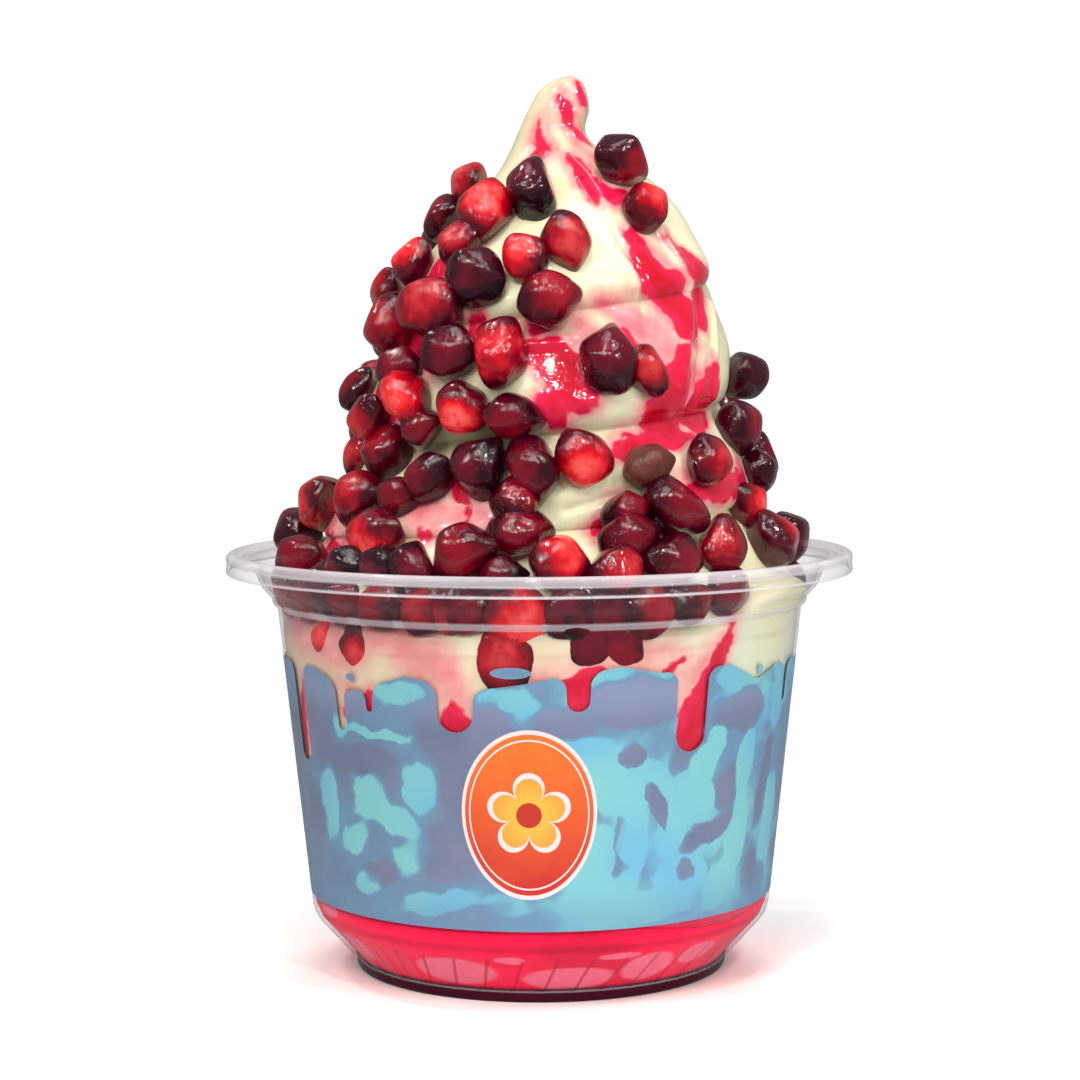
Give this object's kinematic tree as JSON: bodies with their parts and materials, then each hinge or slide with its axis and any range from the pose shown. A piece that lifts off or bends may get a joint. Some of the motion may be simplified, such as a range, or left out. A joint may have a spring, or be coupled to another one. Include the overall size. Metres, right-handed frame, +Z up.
{
  "type": "ice cream cup",
  "caption": "Clear plastic cup of swirled soft-serve ice cream with pomegranate seeds and red syrup, standing on its ring foot.",
  "frame": {"origin": "under the middle of the cup's foot, on the surface it stands on", "axes": "+Z up along the cup's axis; -Y is the front; +X is to the right seen from the front"},
  "size_m": [0.117, 0.117, 0.166],
  "materials": {
    "cup": "clear, slightly milky polypropylene with a band printed in translucent ink",
    "syrup": null,
    "soft_serve": null
  },
  "bodies": {
    "root": {"cup": "cup", "syrup": "syrup", "soft_serve": "soft_serve"}
  },
  "joints": []
}
